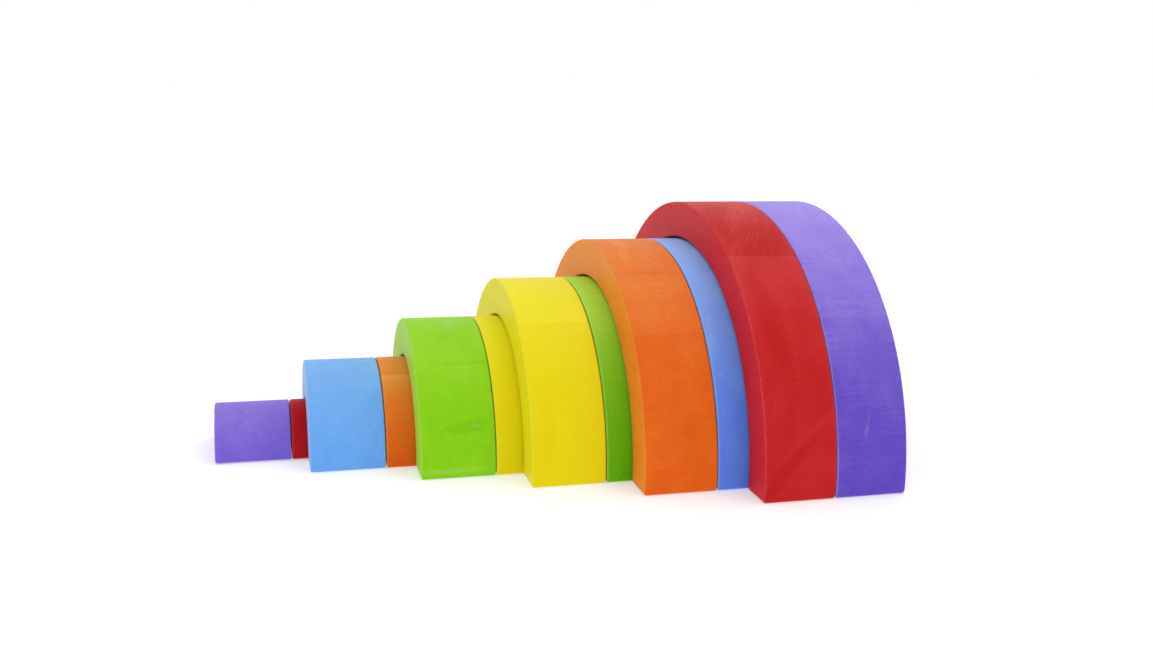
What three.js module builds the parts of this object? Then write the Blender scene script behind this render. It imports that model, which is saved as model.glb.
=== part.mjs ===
// A wooden rainbow arch stacker: two colourful sets of six nesting pieces, stood in one row.
//
// Each set holds a solid half-round and five semicircular arches, all sawn from one block, so each
// piece fits inside the next one with a saw cut's clearance.  The two sets have the same shapes with
// the colours in opposite order.  The row pairs the two pieces of each size, back to back, and each
// pair is partly pushed into the next larger size, like the sections of a telescope.
//
// Frame: millimetres.  +X runs along the row, from the smallest pair to the largest; Y runs across
// the arches, from foot to foot; +Z is up.  The origin is on the table, in the middle of the row.

import * as THREE from "three";

// ---- driving dimensions -------------------------------------------------------------------------

const BLOCK_DEPTH = 40;          // every piece, measured along the row
const HALF_ROUND_RADIUS = 26;    // the solid half-round at the centre of each set
const SIZE_STEP = 22;            // from one outer radius to the next: an arch and its saw cut
const SAW_CUT = 1;               // radial clearance between nested pieces
const EDGE_BEVEL = 1.4;          // softened rim of both end faces
const FOOT_CORNER_RADIUS = 2;    // softened corners where the curve meets the underside
const PAIR_GAP = 0.3;            // between the two pieces of one size

// How far each pair's rear piece still shows before the next larger arch begins.
const VISIBLE_DEPTHS = [8.4, 15.4, 14.2, 13.4, 16.3];

// The two pieces of each size, smallest first: the front one, then the one behind it.
const PAIRS = [
  [{ name: "purple_half_round", colour: 0x7f68d2 }, { name: "red_half_round", colour: 0x9c1e2c }],
  [{ name: "light_blue_arch", colour: 0x6fabec }, { name: "orange_arch", colour: 0xd1661c }],
  [{ name: "green_arch", colour: 0x88cd18 }, { name: "yellow_arch", colour: 0xdac508 }],
  [{ name: "yellow_arch", colour: 0xe2d00a }, { name: "green_arch", colour: 0x5f9f08 }],
  [{ name: "orange_arch", colour: 0xdd6218 }, { name: "blue_arch", colour: 0x577bd2 }],
  [{ name: "red_arch", colour: 0xbf2226 }, { name: "purple_arch", colour: 0x6f55c6 }],
];

// ---- how finely the curves are faceted ----------------------------------------------------------

const ARC_STEP_ANGLE = Math.PI / 36;
const CORNER_SEGMENTS = 2;

// ---- outlines, in the plane of an end face: x across the arch, y up ------------------------------

const HALF_TURN = Math.PI;
const QUARTER_TURN = Math.PI / 2;

// Points along a circular arc, both ends included.
function arcPoints(centreX, centreY, radius, startAngle, endAngle, segments) {
  const points = [];
  for (let i = 0; i <= segments; i += 1) {
    const angle = startAngle + ((endAngle - startAngle) * i) / segments;
    points.push(
      new THREE.Vector2(centreX + radius * Math.cos(angle), centreY + radius * Math.sin(angle)),
    );
  }
  return points;
}

// Where a corner rounding of radius r, resting on the underside, touches a circle of the given
// radius: its centre's distance from the middle, and the angle of the touching point.
function footCorner(circleRadius, r, insideCircle) {
  const centreDistance = insideCircle ? circleRadius - r : circleRadius + r;
  const angle = Math.asin(r / centreDistance);
  return { centreX: centreDistance * Math.cos(angle), angle };
}

// The right-hand outer foot corner, from the underside up to the outer curve.
function outerFootCorner(outerRadius) {
  const r = FOOT_CORNER_RADIUS;
  const { centreX, angle } = footCorner(outerRadius, r, true);
  return { angle, points: arcPoints(centreX, r, r, -QUARTER_TURN, angle, CORNER_SEGMENTS) };
}

// The right-hand inner foot corner, from the inner curve down to the underside.
function innerFootCorner(innerRadius) {
  const r = FOOT_CORNER_RADIUS;
  const { centreX, angle } = footCorner(innerRadius, r, false);
  const startAngle = HALF_TURN + angle;
  const endAngle = HALF_TURN + QUARTER_TURN;
  return { angle, points: arcPoints(centreX, r, r, startAngle, endAngle, CORNER_SEGMENTS) };
}

const mirrored = (points) => points.map((p) => new THREE.Vector2(-p.x, p.y)).reverse();

// A curve over the top, without the end points that its foot corners already hold.
function archCurve(radius, footAngle) {
  const segments = Math.round((HALF_TURN - 2 * footAngle) / ARC_STEP_ANGLE);
  return arcPoints(0, 0, radius, footAngle, HALF_TURN - footAngle, segments).slice(1, -1);
}

// A solid half-round, drawn anticlockwise from its underside.
function halfRoundOutline(outerRadius) {
  const corner = outerFootCorner(outerRadius);
  return [
    ...corner.points,
    ...archCurve(outerRadius, corner.angle),
    ...mirrored(corner.points),
  ];
}

// An arch: out over the top on the outer radius, and back under it on the inner one.
function archOutline(outerRadius, innerRadius) {
  const outer = outerFootCorner(outerRadius);
  const inner = innerFootCorner(innerRadius);
  return [
    ...outer.points,
    ...archCurve(outerRadius, outer.angle),
    ...mirrored(outer.points),
    ...mirrored(inner.points),
    ...archCurve(innerRadius, inner.angle).reverse(),
    ...inner.points,
  ];
}

// ---- pieces -------------------------------------------------------------------------------------

// An outline extruded along the row, with both end rims bevelled, from x = 0 to x = BLOCK_DEPTH.
function extrudeAlongRow(outline) {
  const geometry = new THREE.ExtrudeGeometry(new THREE.Shape(outline), {
    depth: BLOCK_DEPTH - 2 * EDGE_BEVEL,
    steps: 1,
    bevelEnabled: true,
    bevelThickness: EDGE_BEVEL,
    bevelSize: EDGE_BEVEL,
    bevelOffset: -EDGE_BEVEL,
    bevelSegments: 1,
  });
  geometry.translate(0, 0, EDGE_BEVEL);
  const across = new THREE.Vector3(0, 1, 0);
  const up = new THREE.Vector3(0, 0, 1);
  const alongRow = new THREE.Vector3(1, 0, 0);
  geometry.applyMatrix4(new THREE.Matrix4().makeBasis(across, up, alongRow));
  return geometry;
}

function pieceGeometry(sizeIndex) {
  const outerRadius = HALF_ROUND_RADIUS + SIZE_STEP * sizeIndex;
  if (sizeIndex === 0) {
    return extrudeAlongRow(halfRoundOutline(outerRadius));
  }
  const innerRadius = outerRadius - SIZE_STEP + SAW_CUT;
  return extrudeAlongRow(archOutline(outerRadius, innerRadius));
}

function stainedWood(colour) {
  return new THREE.MeshStandardMaterial({ color: colour, roughness: 0.6, metalness: 0 });
}

// ---- the row ------------------------------------------------------------------------------------

const PAIR_LENGTH = 2 * BLOCK_DEPTH + PAIR_GAP;
const sum = (values) => values.reduce((total, value) => total + value, 0);

// Where the front face of a size's front piece stands, counted from the first pair's.
function pairStart(sizeIndex) {
  return sizeIndex * (BLOCK_DEPTH + PAIR_GAP) + sum(VISIBLE_DEPTHS.slice(0, sizeIndex));
}

const ROW_LENGTH = pairStart(PAIRS.length - 1) + PAIR_LENGTH;

const row = new THREE.Group();
row.position.x = -ROW_LENGTH / 2;

PAIRS.forEach((pair, sizeIndex) => {
  pair.forEach(({ name, colour }, place) => {
    const piece = new THREE.Mesh(pieceGeometry(sizeIndex), stainedWood(colour));
    piece.name = `${name}_size_${sizeIndex + 1}`;
    piece.position.x = pairStart(sizeIndex) + place * (BLOCK_DEPTH + PAIR_GAP);
    row.add(piece);
  });
});

export default row;
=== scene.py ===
"""The looks of a wooden rainbow arch stacker: two sets of stained, nesting blocks stood in one row.

Every block is rebuilt as a smooth mesh with softened, slightly knocked edges, and gets its own stained
wood: boards glued edge to edge, annual rings, fibres, end grain that drinks more stain, saw ripples on
the curves and paler, rubbed edges.  Lengths are metres, unless a name ends in _MM.
"""

import math
import random

import bpy
import numpy as np
from mathutils import Matrix, Vector, noise


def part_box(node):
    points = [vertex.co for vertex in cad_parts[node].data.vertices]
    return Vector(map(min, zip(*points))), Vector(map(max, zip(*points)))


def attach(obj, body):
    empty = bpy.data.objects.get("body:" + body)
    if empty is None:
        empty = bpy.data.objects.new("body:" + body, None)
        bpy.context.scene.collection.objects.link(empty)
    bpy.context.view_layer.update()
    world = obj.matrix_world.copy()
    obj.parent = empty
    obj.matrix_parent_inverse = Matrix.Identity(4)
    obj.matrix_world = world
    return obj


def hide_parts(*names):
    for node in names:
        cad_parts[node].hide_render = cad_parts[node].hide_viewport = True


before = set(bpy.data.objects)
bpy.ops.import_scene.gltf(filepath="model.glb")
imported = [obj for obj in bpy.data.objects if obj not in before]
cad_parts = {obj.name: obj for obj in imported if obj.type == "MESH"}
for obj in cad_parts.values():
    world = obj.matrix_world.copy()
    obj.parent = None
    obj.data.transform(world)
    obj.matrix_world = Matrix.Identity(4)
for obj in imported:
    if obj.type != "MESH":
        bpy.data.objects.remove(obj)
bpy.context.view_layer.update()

# ---- driving dimensions -------------------------------------------------------------------------

MM = 0.001
SAW_CUT = 1 * MM                 # an arch's inner radius is the next smaller outer radius and this
EDGE_RADIUS = 1.1 * MM           # rounding between the curved and the flat faces
FOOT_RADIUS = 2.4 * MM           # the same, measured up from the table
ARC_STEP = 1.6 * MM              # mesh spacing along an arch
FLAT_STEP = 2.4 * MM             # mesh spacing across the flats
CORNER_STEPS = 4                 # mesh steps on each half of a rounded edge
EDGE_SUPPORTS = (0.25 * MM, 0.8 * MM)    # extra mesh lines just inside a rounded edge
FOOT_SHARE = 0.5                 # how far up, in middle radii, bend() takes heights into account
HEART_SHARE = 0.4                # height of a half-round's end centre, in radii
END_FACE_RINGS = (0.97, 0.9, 0.78, 0.62, 0.44, 0.24)     # mesh rings on a half-round's end face
WAVINESS = 0.12 * MM             # how far the hand-sanded surfaces wander, always inwards
WAVE_LENGTH = 24 * MM
DENT_RADII = (1.0 * MM, 2.8 * MM)
DENT_DEPTHS = (0.12 * MM, 0.42 * MM)
DENTS_PER_METRE = 34             # along an arch's middle line
FEWEST_DENTS = 3
DENT_ZONE = 0.4 * EDGE_RADIUS    # dents are centred this close to an edge
NOISE_SHIFT = 50                 # each block's waviness is taken from its own part of the noise

# The two sets were glued up from boards of different widths.
BOARD_WIDTH_MM = {"front": 38.7, "rear": 44.0}


def srgb(hex_colour):
    """A linear colour from 0xRRGGBB."""
    channels = [((hex_colour >> shift) & 255) / 255 for shift in (16, 8, 0)]
    return [c / 12.92 if c <= 0.04045 else ((c + 0.055) / 1.055) ** 2.4 for c in channels]


# One entry per block, smallest first.  End grain drinks the most stain, so the curved faces are
# deepest near the feet.  The tops show long grain and are paler, partly real stain and partly painted
# highlight: the sheen of a grazing view on the tops is painted into the long-grain colour.  The flat
# ends of a block are the palest, partly real and partly painted light lifted into their colour.
# boards: how much paler (+) or deeper (-) each board is at its foot and at its top, from the table up.
# sawn: how much of the bandsaw's ripples the sanding left.
# brushed: the board, counted from 0, whose curved face kept slanting sanding marks.
# stains: soft patches of paler (+) or deeper (-) stain, each (x, arc, length, width, slant, tone).
# scratches: the same for places where the stain is rubbed off.  x is measured from the block's
# front, arc from the near foot along the outside, both in mm, and slant in degrees from the row.
BLOCKS = {
    "purple_half_round_size_1": {
        "set": "front", "end": 0x7860CE, "long_grain_and_sheen": 0x8C76D6, "flat": 0x9E8DD9, "boards": (), "sawn": 0.3,
    },
    "red_half_round_size_1": {
        "set": "rear", "end": 0xB20E1E, "long_grain_and_sheen": 0xBC0C18, "flat": 0xB02434, "boards": (), "sawn": 0.5,
    },
    "light_blue_arch_size_2": {
        "set": "front", "end": 0x69A5EF, "long_grain_and_sheen": 0x78B0ED, "flat": 0xA0BAE4,
        "boards": ((0.0, 0.0), (0.1, 0.1)), "sawn": 0.3,
    },
    "orange_arch_size_2": {
        "set": "rear", "end": 0xE06410, "long_grain_and_sheen": 0xE8852C, "flat": 0xE08C46,
        "boards": ((-0.2, 0.32), (0.12, 0.12)), "sawn": 0.5,
        "stains": ((10.0, 54.0, 60.0, 5.0, 0.0, 0.25),),
    },
    "green_arch_size_3": {
        "set": "front", "end": 0x86CC0C, "long_grain_and_sheen": 0x92D222, "flat": 0xA5D646,
        "boards": ((0.0, 0.0), (0.0, 0.06)), "sawn": 0.7,
        "stains": ((25.0, 27.0, 26.0, 7.0, 5.0, -0.4), (30.0, 64.0, 40.0, 3.0, 0.0, -0.2)),
        "scratches": ((30.0, 27.5, 6.0, 2.6, 0.0, 0.08), (24.0, 103.0, 18.0, 10.0, 80.0, 0.08),
                      (16.0, 4.0, 44.0, 3.5, 0.0, 0.09)),
    },
    "yellow_arch_size_3": {
        "set": "rear", "end": 0xE2D200, "long_grain_and_sheen": 0xE8DD10, "flat": 0xE2DA3C,
        "boards": ((0.0, 0.0), (0.05, 0.1)), "sawn": 0.4,
    },
    "yellow_arch_size_4": {
        "set": "front", "end": 0xE4D204, "long_grain_and_sheen": 0xE8DA18, "flat": 0xE6DA18,
        "boards": ((0.0, 0.0), (-0.03, 0.06), (0.42, 0.35)), "sawn": 0.5,
        "stains": ((10.0, 30.0, 50.0, 7.0, 88.0, -0.15), (34.0, 92.0, 22.0, 12.0, 50.0, 0.15)),
    },
    "green_arch_size_4": {
        "set": "rear", "end": 0x62B200, "long_grain_and_sheen": 0xA6DC3C, "flat": 0x9BC446,
        "boards": ((-0.1, -0.1), (-0.15, 0.25), (0.1, 0.1)), "sawn": 0.9,
    },
    "orange_arch_size_5": {
        "set": "front", "end": 0xE16210, "long_grain_and_sheen": 0xE27028, "flat": 0xE88626,
        "boards": ((0.0, 0.0), (0.0, -0.03), (0.12, 0.3)), "sawn": 0.8,
        "stains": ((14.0, 172.0, 70.0, 9.0, 84.0, 0.25), (24.0, 130.0, 60.0, 3.0, 0.0, -0.2),
                   (16.0, 118.0, 60.0, 18.0, 10.0, 0.15)),
    },
    "blue_arch_size_5": {
        "set": "rear", "end": 0x5882EC, "long_grain_and_sheen": 0x8AB4F6, "flat": 0x87A6E6,
        "boards": ((0.0, 0.0), (0.0, 0.1), (0.15, 0.2)), "sawn": 1.0,
        "scratches": ((3.0, 84.0, 26.0, 3.0, 84.0, 0.07), (5.0, 62.0, 5.0, 2.5, 0.0, 0.08)),
    },
    "red_arch_size_6": {
        "set": "front", "end": 0xC01F23, "long_grain_and_sheen": 0xC42C2D, "flat": 0xC8262E,
        "boards": ((-0.1, -0.1), (-0.1, -0.1), (-0.15, 0.2), (-0.2, 0.15)), "sawn": 0.3, "brushed": 3,
        "stains": (
            (12.0, 17.0, 50.0, 8.0, 48.0, -0.28), (23.0, 33.0, 44.0, 5.0, 42.0, 0.2),
            (26.0, 152.0, 50.0, 26.0, 50.0, -0.35), (8.0, 176.0, 60.0, 16.0, 80.0, -0.2),
            (24.0, 190.0, 60.0, 14.0, 60.0, 0.3), (12.0, 92.0, 80.0, 14.0, 96.0, -0.2),
        ),
    },
    "purple_arch_size_6": {
        "set": "rear", "end": 0x644ABE, "long_grain_and_sheen": 0x9A84E0, "flat": 0xA591E3,
        "boards": ((0.0, -0.1), (-0.12, -0.02), (0.1, 0.12), (0.1, 0.1)), "sawn": 1.0,
        "scratches": ((18.0, 40.0, 13.0, 0.8, 74.0, 0.05), (16.6, 34.5, 6.0, 2.2, 74.0, 0.08)),
    },
}


def size_number(node):
    return int(node.rsplit("_", 1)[1])


def outer_radius(node):
    """The axis of every block lies on the table, so its height is its outer radius."""
    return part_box(node)[1].z


def inner_radius(node):
    """0 for a solid half-round."""
    smaller = [n for n in BLOCKS if size_number(n) == size_number(node) - 1]
    return outer_radius(smaller[0]) + SAW_CUT if smaller else 0.0


# ---- meshes -------------------------------------------------------------------------------------


def grid_line(length, step, rounding):
    """Places along one side of a rounded box: close together on the rounded ends, with two
    supports just inside them, then evenly spaced."""
    ends = [
        rounding * (1 - math.tan(math.radians(45) * (1 - i / CORNER_STEPS)))
        for i in range(CORNER_STEPS + 1)
    ]
    ends += [rounding + support for support in EDGE_SUPPORTS]
    middle = length - 2 * ends[-1]
    count = max(2, round(middle / step))
    inside = [ends[-1] + middle * i / count for i in range(1, count)]
    return np.array(ends + inside + [length - e for e in reversed(ends)])


def box_surface(lines):
    """Vertices (as grid places) and quads, facing out, of a box's surface grid."""
    places, index, quads = [], {}, []

    def vertex(i, j, k):
        key = (i, j, k)
        if key not in index:
            index[key] = len(places)
            places.append((lines[0][i], lines[1][j], lines[2][k]))
        return index[key]

    for axis in range(3):
        u, v = (axis + 1) % 3, (axis + 2) % 3
        for end in (0, len(lines[axis]) - 1):
            for a in range(len(lines[u]) - 1):
                for b in range(len(lines[v]) - 1):
                    corners = []
                    for da, db in ((0, 0), (1, 0), (1, 1), (0, 1)):
                        at = [0, 0, 0]
                        at[axis], at[u], at[v] = end, a + da, b + db
                        corners.append(vertex(*at))
                    quads.append(corners if end else corners[::-1])
    return np.array(places), quads


def round_box(points, size, rounding):
    """Pulls a box's surface grid onto a box with elliptically rounded edges."""
    size, rounding = np.array(size), np.array(rounding)
    core = np.clip(points, rounding, size - rounding)
    out = (points - core) / rounding
    return core + rounding * out / np.linalg.norm(out, axis=1)[:, None]


def bend(points, length, inner, outer):
    """Bends a straight bar (x along the row, then across its thickness, then along it) into an
    arch.  Near the feet equal lengths are equal heights, so the undersides stay flat and the
    rounded corners stay true; further up they are equal angles."""
    x, across, along = points.T
    middle = (inner + outer) / 2
    radius = inner + across
    far_side = along > length / 2
    up = np.where(far_side, length - along, along)
    level = np.arcsin(np.clip(up / radius, 0, 1))
    share = np.clip(up / (FOOT_SHARE * middle), 0, 1)
    share = share * share * (3 - 2 * share)
    angle = (1 - share) * level + share * up / middle
    angle = np.where(far_side, math.pi - angle, angle)
    return np.stack([x, radius * np.cos(angle), radius * np.sin(angle)], axis=1)


def arch_surface(depth, inner, outer):
    size = (depth, outer - inner, math.pi * (inner + outer) / 2)
    steps = (FLAT_STEP, FLAT_STEP, ARC_STEP)
    rounding = (EDGE_RADIUS, EDGE_RADIUS, FOOT_RADIUS)
    points, quads = box_surface([grid_line(*line) for line in zip(size, steps, rounding)])
    return bend(round_box(points, size, rounding), size[2], inner, outer), quads


def half_round_outline(radius, inset):
    """The half-round's outline, moved inwards by inset: anticlockwise in (y, z), starting at the
    middle of the underside.  The number of points doesn't depend on inset."""
    corner = FOOT_RADIUS
    edge, small = radius - inset, corner - inset
    centre_z = corner
    centre_y = math.sqrt((radius - corner) ** 2 - centre_z**2)
    corner_angle = math.atan2(centre_z, centre_y)
    base_count = round(centre_y / FLAT_STEP)
    base = [(centre_y * i / base_count, inset) for i in range(base_count)]
    bends = [
        -math.pi / 2 + (corner_angle + math.pi / 2) * i / (2 * CORNER_STEPS)
        for i in range(2 * CORNER_STEPS + 1)
    ]
    side = [(centre_y + small * math.cos(a), centre_z + small * math.sin(a)) for a in bends]
    arc_count = round((math.pi / 2 - corner_angle) * radius / ARC_STEP)
    arc_step = (math.pi / 2 - corner_angle) / arc_count
    angles = [corner_angle + arc_step * i for i in range(1, arc_count)]
    arc = [(edge * math.cos(a), edge * math.sin(a)) for a in angles]
    right = base + side + arc
    left = [(-y, z) for y, z in reversed(right[1:])]
    return np.array(right + [(0.0, edge)] + left)


def half_round_surface(depth, radius):
    """Outlines stacked along x, closed by end faces that shrink to a point."""
    quarter = [math.pi / 2 * i / (2 * CORNER_STEPS) for i in range(2 * CORNER_STEPS + 1)]
    rim = [(EDGE_RADIUS * (1 - math.sin(a)), EDGE_RADIUS * (1 - math.cos(a))) for a in quarter]
    line = grid_line(depth, FLAT_STEP, EDGE_RADIUS)
    levels = [(x, 0.0) for x in line[CORNER_STEPS + 1 : -CORNER_STEPS - 1]]
    front = [(x, inset) for inset, x in rim]
    levels = front + levels + [(depth - x, inset) for x, inset in reversed(front)]
    heart = np.array([0.0, HEART_SHARE * radius])

    def ring(x, inset, scale=1.0):
        outline = heart + (half_round_outline(radius, inset) - heart) * scale
        return np.column_stack([np.full(len(outline), x), outline])

    rings = [ring(*levels[0], s) for s in reversed(END_FACE_RINGS)]
    rings += [ring(*level) for level in levels]
    rings += [ring(*levels[-1], s) for s in END_FACE_RINGS]
    count = len(rings[0])
    points = np.vstack(rings + [[[0.0, *heart]], [[depth, *heart]]])
    first, last = len(points) - 2, len(points) - 1
    last_ring = (len(rings) - 1) * count
    faces = []
    for i in range(count):
        after = (i + 1) % count
        for ring_start in range(0, last_ring, count):
            here, above = ring_start, ring_start + count
            faces.append([here + after, above + after, above + i, here + i])
        faces.append([first, after, i])
        faces.append([last, last_ring + i, last_ring + after])
    return points, faces


def edge_distances(points, depth, inner, outer):
    """How far each point is from the nearest edge: the second smallest of its distances to the end
    faces, to the curved faces and to the underside."""
    radius = np.hypot(points[:, 1], points[:, 2])
    to_ends = np.minimum(points[:, 0], depth - points[:, 0])
    to_curves = np.minimum(outer - radius, radius - inner)
    return np.sort(np.stack([to_ends, to_curves, points[:, 2]]), axis=0)[1]


def vertex_array(mesh, attribute):
    values = np.zeros(len(mesh.vertices) * 3)
    mesh.vertices.foreach_get(attribute, values)
    return values.reshape(-1, 3)


def weather(mesh, depth, inner, outer, rng):
    """Hand-sanded waviness and small knocks along the edges, both cut inwards only, so that a block
    never grows into its neighbour or through the table."""
    points, normals = vertex_array(mesh, "co"), vertex_array(mesh, "normal")
    shift = Vector([rng.uniform(-NOISE_SHIFT, NOISE_SHIFT) for _ in range(3)])
    wander = np.array([noise.noise(Vector(p / WAVE_LENGTH) + shift) for p in points])
    cut = normals * (WAVINESS * np.clip(0.5 + 0.5 * wander, 0, 1))[:, None]
    near_edge = np.flatnonzero(edge_distances(points, depth, inner, outer) < DENT_ZONE)
    count = round(DENTS_PER_METRE * math.pi * (inner + outer) / 2) + FEWEST_DENTS
    for centre in rng.choices(list(near_edge), k=count):
        reach, deep = rng.uniform(*DENT_RADII), rng.uniform(*DENT_DEPTHS)
        distance = np.linalg.norm(points - points[centre], axis=1)
        share = np.clip(1 - (distance / reach) ** 2, 0, 1) ** 2
        cut += normals[centre] * (deep * share)[:, None]
    points = points - cut
    points[:, 2] = np.maximum(points[:, 2], 0)
    mesh.vertices.foreach_set("co", points.ravel())
    mesh.update()


def build_block(node, seed):
    """A smooth mesh in place of a CAD node, in the row frame."""
    low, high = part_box(node)
    depth, outer, inner = high.x - low.x, outer_radius(node), inner_radius(node)
    if inner:
        points, faces = arch_surface(depth, inner, outer)
    else:
        points, faces = half_round_surface(depth, outer)
    mesh = bpy.data.meshes.new(node + "_block")
    mesh.from_pydata(points.tolist(), [], faces)
    weather(mesh, depth, inner, outer, random.Random(seed))
    mesh.transform(Matrix.Translation((low.x, 0, 0)))
    mesh.shade_smooth()
    block = bpy.data.objects.new(node + "_block", mesh)
    bpy.context.scene.collection.objects.link(block)
    return block


# ---- materials ----------------------------------------------------------------------------------


class Graph:
    """The node tree of a material or a world, emptied.  Most methods return the new node's output
    socket."""

    def __init__(self, owner):
        owner.use_nodes = True
        self.tree = owner.node_tree
        self.tree.nodes.clear()

    def feed(self, socket, value):
        if isinstance(value, bpy.types.NodeSocket):
            self.tree.links.new(value, socket)
        else:
            socket.default_value = value

    def node(self, kind, inputs=None, **settings):
        made = self.tree.nodes.new("ShaderNode" + kind)
        for name, value in settings.items():
            setattr(made, name, value)
        for place, value in (inputs or {}).items():
            self.feed(made.inputs[place], value)
        return made

    def math(self, operation, *values):
        inputs = dict(enumerate(values))
        return self.node("Math", inputs, operation=operation).outputs[0]

    def total(self, *values):
        result = values[0]
        for value in values[1:]:
            result = self.math("ADD", result, value)
        return result

    def weighted(self, *pairs):
        """The sum of value times weight."""
        return self.total(*[self.math("MULTIPLY", value, weight) for value, weight in pairs])

    def vector(self, x, y, z):
        return self.node("CombineXYZ", {0: x, 1: y, 2: z}).outputs[0]

    def split(self, vector):
        return self.node("SeparateXYZ", {0: vector}).outputs[:3]

    def smooth(self, value, low, high, to_low=0.0, to_high=1.0):
        """value from low to high becomes to_low to to_high, held outside and eased at both ends."""
        inputs = {0: value, 1: low, 2: high, 3: to_low, 4: to_high}
        return self.node("MapRange", inputs, interpolation_type="SMOOTHSTEP").outputs[0]

    def noise(self, vector, detail=2.0, roughness=0.5):
        """About -1 to 1; the pattern has about one patch per unit of the vector."""
        inputs = {"Vector": vector, "Scale": 1.0, "Detail": detail, "Roughness": roughness}
        raw = self.node("TexNoise", inputs).outputs[0]
        return self.math("MULTIPLY_ADD", raw, 2.0, -1.0)

    def mix(self, factor, first, second):
        """From the first colour to the second as factor, held within 0 to 1, rises."""
        made = self.node("Mix", data_type="RGBA", clamp_factor=True)
        for place, value in ((0, factor), (6, first), (7, second)):
            self.feed(made.inputs[place], value)
        return made.outputs[2]


# Factors on a place in the noise patterns below are patches per millimetre, so a small one draws a
# pattern out in that direction.
RING_WIDTH_MM = 3.4
RING_WARP_MM = 7.0               # how far the rings wander from true circles
PITH_X_MM = (-35.0, 75.0)        # where a board's pith may lie, from the front of the block
PITH_Z_MM = (-15.0, -105.0)      # the same, from the board's lower face
GLUE_LINE_MM = 0.16
OUTSIDE_MM = (2.0, 3.0)          # strokes fade out this deep inside the outer curve
BARE_WOOD = (0.80, 0.68, 0.46)

# A tone of 1 is much paler than the stain and -1 much deeper.  STAIN_DEPTH is how strongly a tone
# acts; the values after it are what each pattern adds to the tone.
STAIN_DEPTH = 0.42
LATEWOOD_TONE = -0.1
CLOUD_TONE = 0.5
GLUE_TONE = -0.15
RIPPLE_TONE = 0.42
FIBRE_TONE_END_GRAIN = 0.3
FIBRE_TONE_LONG_GRAIN = 0.16     # added to the last where the surface shows long grain
FLAT_TONE_LOSS = -0.6            # the flat faces show this much less of the boards' own tones

# How much bare wood shows through.
RUBBED_WEAR = 0.06
SCUFF_WEAR = 0.04
RUB_REACH_MM = 0.55              # from an edge, on average
RUB_VARIATION_MM = 0.6
RUB_BLUR_MM = 0.8

BUMP_STRENGTH = 0.5
BUMP_HEIGHT = 0.05 * MM
WOOD_ROUGHNESS = 0.5
FIBRE_ROUGHNESS = 0.05
CLOUD_ROUGHNESS = 0.06
SPECULAR = 0.1                   # of the stained wood and of the floor


def block_places(g, node):
    """Where the patterns are drawn: millimetres on the block, and which way its surface looks."""
    coordinates = g.node("TexCoord")
    x, y, z = [g.math("DIVIDE", value, MM) for value in g.split(coordinates.outputs["Object"])]
    low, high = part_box(node)
    x = g.math("SUBTRACT", x, low.x / MM)
    radius = g.math("SQRT", g.weighted((y, y), (z, z)))
    angle = g.math("ARCTAN2", z, g.math("MULTIPLY", y, -1.0))
    places = {"x": x, "y": y, "z": z, "radius": radius}
    places["arc"] = g.math("MULTIPLY", angle, outer_radius(node) / MM)
    to_ends = g.math("MINIMUM", x, g.math("SUBTRACT", (high.x - low.x) / MM, x))
    to_outside = g.math("SUBTRACT", outer_radius(node) / MM, radius)
    to_inside = g.math("SUBTRACT", radius, inner_radius(node) / MM)
    to_curves = g.math("MINIMUM", to_outside, to_inside) if inner_radius(node) else to_outside
    nearest = g.math("MINIMUM", to_ends, to_curves)
    further = g.math("MAXIMUM", to_ends, to_curves)
    places["edge"] = g.math("MAXIMUM", nearest, g.math("MINIMUM", further, z))
    normal = g.split(coordinates.outputs["Normal"])
    places["flat"] = g.math("MULTIPLY", normal[0], normal[0])
    places["curved"] = g.math("SUBTRACT", 1.0, g.smooth(places["flat"], 0.1, 0.7))
    places["outside"] = g.math(
        "MULTIPLY", places["curved"], g.smooth(to_outside, *OUTSIDE_MM, 1.0, 0.0)
    )
    # Its complement also places the painted top sheen held in the long-grain colour.
    places["end_grain"] = g.math("MULTIPLY", normal[1], normal[1])
    return places


def boards(g, p, look, seed):
    """The glued-up boards: faint rings around each board's own pith, its tone, and the glue lines."""
    width = BOARD_WIDTH_MM[look["set"]]
    level = g.math("DIVIDE", p["z"], width)
    index = g.math("FLOOR", level)
    chance = g.node("TexWhiteNoise", {"W": g.math("ADD", index, seed * 17.0)}, noise_dimensions="1D")
    chance_x, chance_z, _ = g.split(chance.outputs["Color"])
    pith_x = g.math("MULTIPLY_ADD", chance_x, PITH_X_MM[1] - PITH_X_MM[0], PITH_X_MM[0])
    pith_z = g.math("MULTIPLY_ADD", chance_z, PITH_Z_MM[1] - PITH_Z_MM[0], PITH_Z_MM[0])
    off_x = g.math("SUBTRACT", p["x"], pith_x)
    off_z = g.math("SUBTRACT", g.math("MULTIPLY", g.math("FRACT", level), width), pith_z)
    slow_x, slow_y = g.math("MULTIPLY", p["x"], 0.04), g.math("MULTIPLY", p["y"], 0.012)
    warp = g.noise(g.vector(slow_x, slow_y, g.math("MULTIPLY", level, 2.0)), detail=3.0)
    distance = g.math("SQRT", g.weighted((off_x, off_x), (off_z, off_z)))
    distance = g.math("MULTIPLY_ADD", warp, RING_WARP_MM, distance)
    year = g.math("FRACT", g.math("DIVIDE", distance, RING_WIDTH_MM))
    latewood = g.math("MULTIPLY", g.math("POWER", year, 2.0), g.smooth(year, 0.8, 1.0, 1.0, 0.0))
    tone = 0.0
    for number, (foot, top) in enumerate(look["boards"]):
        here = g.math("COMPARE", index, float(number), 0.5)
        value = g.math("MULTIPLY_ADD", g.math("FRACT", level), top - foot, foot)
        tone = g.math("MULTIPLY_ADD", here, value, tone)
    to_glue = g.math("MULTIPLY", g.math("PINGPONG", level, 0.5), width)
    glue = g.smooth(to_glue, GLUE_LINE_MM / 2, GLUE_LINE_MM, 1.0, 0.0)
    return {"index": index, "latewood": latewood, "tone": tone, "glue": glue}


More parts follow.
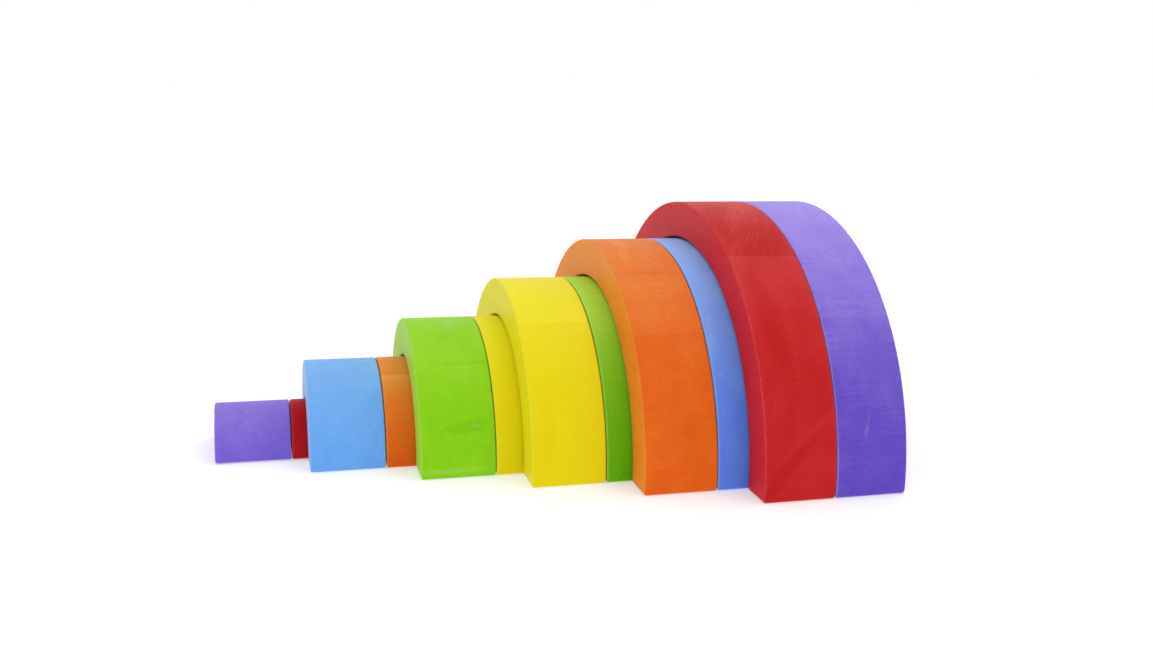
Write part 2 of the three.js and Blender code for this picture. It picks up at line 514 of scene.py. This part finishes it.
def fibres(g, p, b, seed):
    """Fine streaks along the boards, which run across the row; on end grain they are dots."""
    across = g.vector(
        g.math("MULTIPLY_ADD", p["x"], 0.9, seed * 3.7),
        g.math("MULTIPLY", p["y"], 0.035),
        g.math("MULTIPLY_ADD", p["z"], 0.9, g.math("MULTIPLY", b["index"], 5.3)),
    )
    return g.noise(across, detail=5.0, roughness=0.65)


def clouds(g, p, seed):
    """Stain that was wiped on unevenly: soft patches, drawn out along the arc."""
    place = g.vector(
        g.math("MULTIPLY_ADD", p["x"], 0.06, seed * 1.9), g.math("MULTIPLY", p["y"], 0.035),
        g.math("MULTIPLY", p["z"], 0.035),
    )
    return g.noise(place, detail=6.0, roughness=0.68)


def saw_ripples(g, p, seed):
    """Faint ripples a bandsaw leaves on the curved faces: long along the row, short along the arc."""
    slow_x, slow_arc = g.math("MULTIPLY", p["x"], 0.05), g.math("MULTIPLY", p["arc"], 0.04)
    arc = g.math("MULTIPLY_ADD", g.noise(g.vector(slow_x, slow_arc, seed * 3.3)), 1.2, p["arc"])
    place = g.vector(
        g.math("MULTIPLY", p["x"], 0.03), g.math("MULTIPLY_ADD", arc, 0.75, seed * 9.1), seed * 1.7
    )
    patches = g.smooth(g.noise(g.vector(slow_x, slow_arc, seed * 2.3)), -0.25, 0.45, 0.15, 1.0)
    ripples = g.noise(place, detail=3.0, roughness=0.6)
    return g.math("MULTIPLY", ripples, g.math("MULTIPLY", patches, p["curved"]))


def brush_marks(g, p, b, board_number):
    """Slanting sanding marks, left on one board's curved face."""
    across = g.math("SUBTRACT", g.math("MULTIPLY", p["x"], 0.9), g.math("MULTIPLY", p["arc"], 0.55))
    along = g.total(g.math("MULTIPLY", p["x"], 0.03), g.math("MULTIPLY", p["arc"], 0.05))
    marks = g.smooth(g.noise(g.vector(across, along, 0.0), detail=4.0, roughness=0.75), -0.2, 0.7, -0.2)
    here = g.math("COMPARE", b["index"], float(board_number), 0.5)
    return g.math("MULTIPLY", marks, g.math("MULTIPLY", here, p["outside"]))


def stroke(g, p, x, arc, length, width, slant):
    """A soft-edged stroke on the outside, at a place measured from the near foot."""
    cosine, sine = math.cos(math.radians(slant)), math.sin(math.radians(slant))
    off_x, off_arc = g.math("SUBTRACT", p["x"], x), g.math("SUBTRACT", p["arc"], arc)
    along = g.weighted((off_x, cosine), (off_arc, sine))
    across = g.weighted((off_x, -sine), (off_arc, cosine))
    ragged_place = g.vector(g.math("MULTIPLY", p["x"], 0.3), g.math("MULTIPLY", p["arc"], 0.3), x)
    ragged = g.math("MULTIPLY_ADD", g.noise(ragged_place, detail=3.0), 0.45, 1.0)
    reach = g.total(
        g.math("POWER", g.math("ABSOLUTE", g.math("DIVIDE", along, length / 2)), 2.0),
        g.math("POWER", g.math("ABSOLUTE", g.math("DIVIDE", across, width / 2)), 2.0),
    )
    shape = g.smooth(g.math("DIVIDE", reach, ragged), 0.0, 1.5, 1.0, 0.0)
    return g.math("MULTIPLY", shape, p["outside"])


def scuffs(g, p, seed):
    """Sparse short scratches and rub marks, in two directions."""
    found = []
    for turn, stretch_x, stretch_arc in ((0.0, 0.09, 0.8), (5.0, 0.7, 0.07)):
        place = g.vector(
            g.math("MULTIPLY_ADD", p["x"], stretch_x, turn),
            g.math("MULTIPLY_ADD", p["arc"], stretch_arc, seed * 6.1),
            g.math("MULTIPLY_ADD", p["radius"], 0.3, turn),
        )
        found.append(g.smooth(g.noise(place, detail=2.0), 0.42, 0.62))
    return g.math("MAXIMUM", *found)


def stained_wood(node, look, seed):
    material = bpy.data.materials.new(node + "_stained_wood")
    g = Graph(material)
    p = block_places(g, node)
    b = boards(g, p, look, seed)
    streaks = fibres(g, p, b, seed)
    # 1 on the tops of the curved faces: long grain, and also where the painted top sheen goes.
    long_grain_with_top_sheen = g.math("SUBTRACT", 1.0, p["end_grain"])
    cloud = clouds(g, p, seed)
    ripples = saw_ripples(g, p, seed)
    scuff = scuffs(g, p, seed)
    rub_place = g.vector(*[g.math("MULTIPLY_ADD", p[axis], 0.3, seed * 4.1) for axis in "xyz"])
    rub_noise = g.noise(rub_place, detail=3.0, roughness=0.6)
    rub_reach = g.math("MULTIPLY_ADD", rub_noise, RUB_VARIATION_MM, RUB_REACH_MM)
    past_rub = g.math("SUBTRACT", p["edge"], rub_reach)
    rubbed = g.smooth(past_rub, -RUB_BLUR_MM, RUB_BLUR_MM, 1.0, 0.0)

    board_share = g.math("MULTIPLY_ADD", p["flat"], FLAT_TONE_LOSS, 1.0)
    board_tone = g.math("MULTIPLY", b["tone"], board_share)
    fibre_share = g.math("MULTIPLY_ADD", long_grain_with_top_sheen, FIBRE_TONE_LONG_GRAIN, FIBRE_TONE_END_GRAIN)
    fibre_tone = g.math("MULTIPLY", streaks, fibre_share)
    parts = [
        (board_tone, 1.0), (b["latewood"], LATEWOOD_TONE), (cloud, CLOUD_TONE), (b["glue"], GLUE_TONE),
        (fibre_tone, 1.0), (ripples, RIPPLE_TONE * look["sawn"]),
    ]
    if "brushed" in look:
        parts.append((brush_marks(g, p, b, look["brushed"]), 1.0))
    parts += [(stroke(g, p, *place), value) for *place, value in look.get("stains", ())]
    tone = g.weighted(*parts)

    worn = [(rubbed, RUBBED_WEAR), (scuff, SCUFF_WEAR)]
    worn += [(stroke(g, p, *place), value) for *place, value in look.get("scratches", ())]

    # Paler long-grain colour at the tops: partly real stain, partly a painted highlight (grazing
    # sheen).
    stain = g.mix(long_grain_with_top_sheen, (*srgb(look["end"]), 1), (*srgb(look["long_grain_and_sheen"]), 1))
    # The flat ends' own colour is partly real and partly painted light, lifted to make up for light
    # they lack.
    stain = g.mix(g.smooth(p["flat"], 0.3, 0.9), stain, (*srgb(look["flat"]), 1))
    gamma = g.math("MULTIPLY_ADD", tone, -STAIN_DEPTH, 1.0)
    colour = g.node("Gamma", {0: stain, 1: gamma}).outputs[0]
    colour = g.mix(g.weighted(*worn), colour, (*BARE_WOOD, 1))

    height = g.weighted(
        (streaks, 0.3), (ripples, 1.2 * look["sawn"]), (b["latewood"], 0.2), (b["glue"], -1.0),
        (rub_noise, 0.2), (scuff, -0.3),
    )
    bump = g.node("Bump", {"Height": height, "Strength": BUMP_STRENGTH, "Distance": BUMP_HEIGHT})
    roughness = g.total(
        WOOD_ROUGHNESS,
        g.math("MULTIPLY", streaks, FIBRE_ROUGHNESS), g.math("MULTIPLY", cloud, CLOUD_ROUGHNESS),
    )
    shader = g.node(
        "BsdfPrincipled",
        {
            "Base Color": colour, "Roughness": roughness, "Normal": bump.outputs[0],
            "Specular IOR Level": SPECULAR,
        },
    )
    g.node("OutputMaterial", {"Surface": shader.outputs[0]})
    return material


# ---- stage, light and camera --------------------------------------------------------------------

FLOOR_REACH = 6.0
FLOOR_DROP = 0.1 * MM            # keeps the floor just clear of the blocks' undersides
FLOOR_GREY = 0.8
FLOOR_GLOW = 0.3                 # lifts the floor to the white of the background

SKY_HORIZON = 1.0
SKY_ZENITH = 0.92
SKY_FADE = (0.1, 1.0)            # upward parts of a direction between which the sky changes

SOFTBOX_PLACE = (0.35, 0.0, 1.1)
SOFTBOX_TARGET = (0, 0, 0.05)
SOFTBOX_SIZE = 0.6
SOFTBOX_WATTS = 1.6

CAMERA_PLACE = (-0.149, -0.647, 0.217)
CAMERA_HEADING = 15.55           # degrees, clockwise from +Y seen from above
CAMERA_PITCH = -13.27
CAMERA_ROLL = 1.69
SENSOR_WIDTH_MM = 36.0
LENS_MM = 36.5


def add_floor():
    mesh = bpy.data.meshes.new("floor")
    reach = FLOOR_REACH
    corners = [(-reach, -reach, 0), (reach, -reach, 0), (reach, reach, 0), (-reach, reach, 0)]
    mesh.from_pydata(corners, [], [(0, 1, 2, 3)])
    floor = bpy.data.objects.new("floor", mesh)
    floor.location.z = -FLOOR_DROP
    bpy.context.scene.collection.objects.link(floor)
    material = bpy.data.materials.new("white_floor")
    g = Graph(material)
    shader = g.node(
        "BsdfPrincipled",
        {
            "Base Color": (FLOOR_GREY, FLOOR_GREY, FLOOR_GREY, 1), "Roughness": 0.8,
            "Specular IOR Level": SPECULAR,
            "Emission Color": (1, 1, 1, 1), "Emission Strength": FLOOR_GLOW,
        },
    )
    g.node("OutputMaterial", {"Surface": shader.outputs[0]})
    mesh.materials.append(material)


def add_area_light(name, place, target, size, power):
    light = bpy.data.lights.new(name, "AREA")
    light.shape = "DISK"
    light.size = size
    light.energy = power
    lamp = bpy.data.objects.new(name, light)
    lamp.location = place
    aim = Vector(target) - Vector(place)
    lamp.rotation_mode = "QUATERNION"
    lamp.rotation_quaternion = aim.to_track_quat("-Z", "Y")
    bpy.context.scene.collection.objects.link(lamp)


def add_light():
    """A white studio: a sky a little brighter at the horizon, and a softbox above the row, beyond
    its large end."""
    world = bpy.data.worlds.new("studio")
    bpy.context.scene.world = world
    g = Graph(world)
    up = g.split(g.node("TexCoord").outputs["Generated"])[2]
    strength = g.smooth(up, *SKY_FADE, SKY_HORIZON, SKY_ZENITH)
    background = g.node("Background", {"Color": (1, 1, 1, 1), "Strength": strength})
    g.node("OutputWorld", {"Surface": background.outputs[0]})
    add_area_light("softbox", SOFTBOX_PLACE, SOFTBOX_TARGET, SOFTBOX_SIZE, SOFTBOX_WATTS)


def add_camera():
    """The main view: from one side of the row, near its small end and a little above it."""
    camera = bpy.data.objects.new("camera", bpy.data.cameras.new("camera"))
    camera.data.sensor_width = SENSOR_WIDTH_MM
    camera.data.lens = LENS_MM
    camera.location = CAMERA_PLACE
    angles = (CAMERA_HEADING, CAMERA_PITCH, CAMERA_ROLL)
    heading, pitch, roll = (math.radians(angle) for angle in angles)
    turn = Matrix.Rotation(-heading, 4, "Z") @ Matrix.Rotation(math.pi / 2 + pitch, 4, "X")
    camera.rotation_mode = "QUATERNION"
    camera.rotation_quaternion = (turn @ Matrix.Rotation(roll, 4, "Z")).to_quaternion()
    bpy.context.scene.collection.objects.link(camera)
    bpy.context.scene.camera = camera


# ---- the scene ----------------------------------------------------------------------------------

for number, (node_name, look) in enumerate(BLOCKS.items()):
    block = build_block(node_name, seed=number + 1)
    block.data.materials.append(stained_wood(node_name, look, seed=number + 1))
    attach(block, node_name)
    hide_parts(node_name)

add_floor()
add_light()
add_camera()
bpy.context.scene.view_settings.view_transform = "Standard"
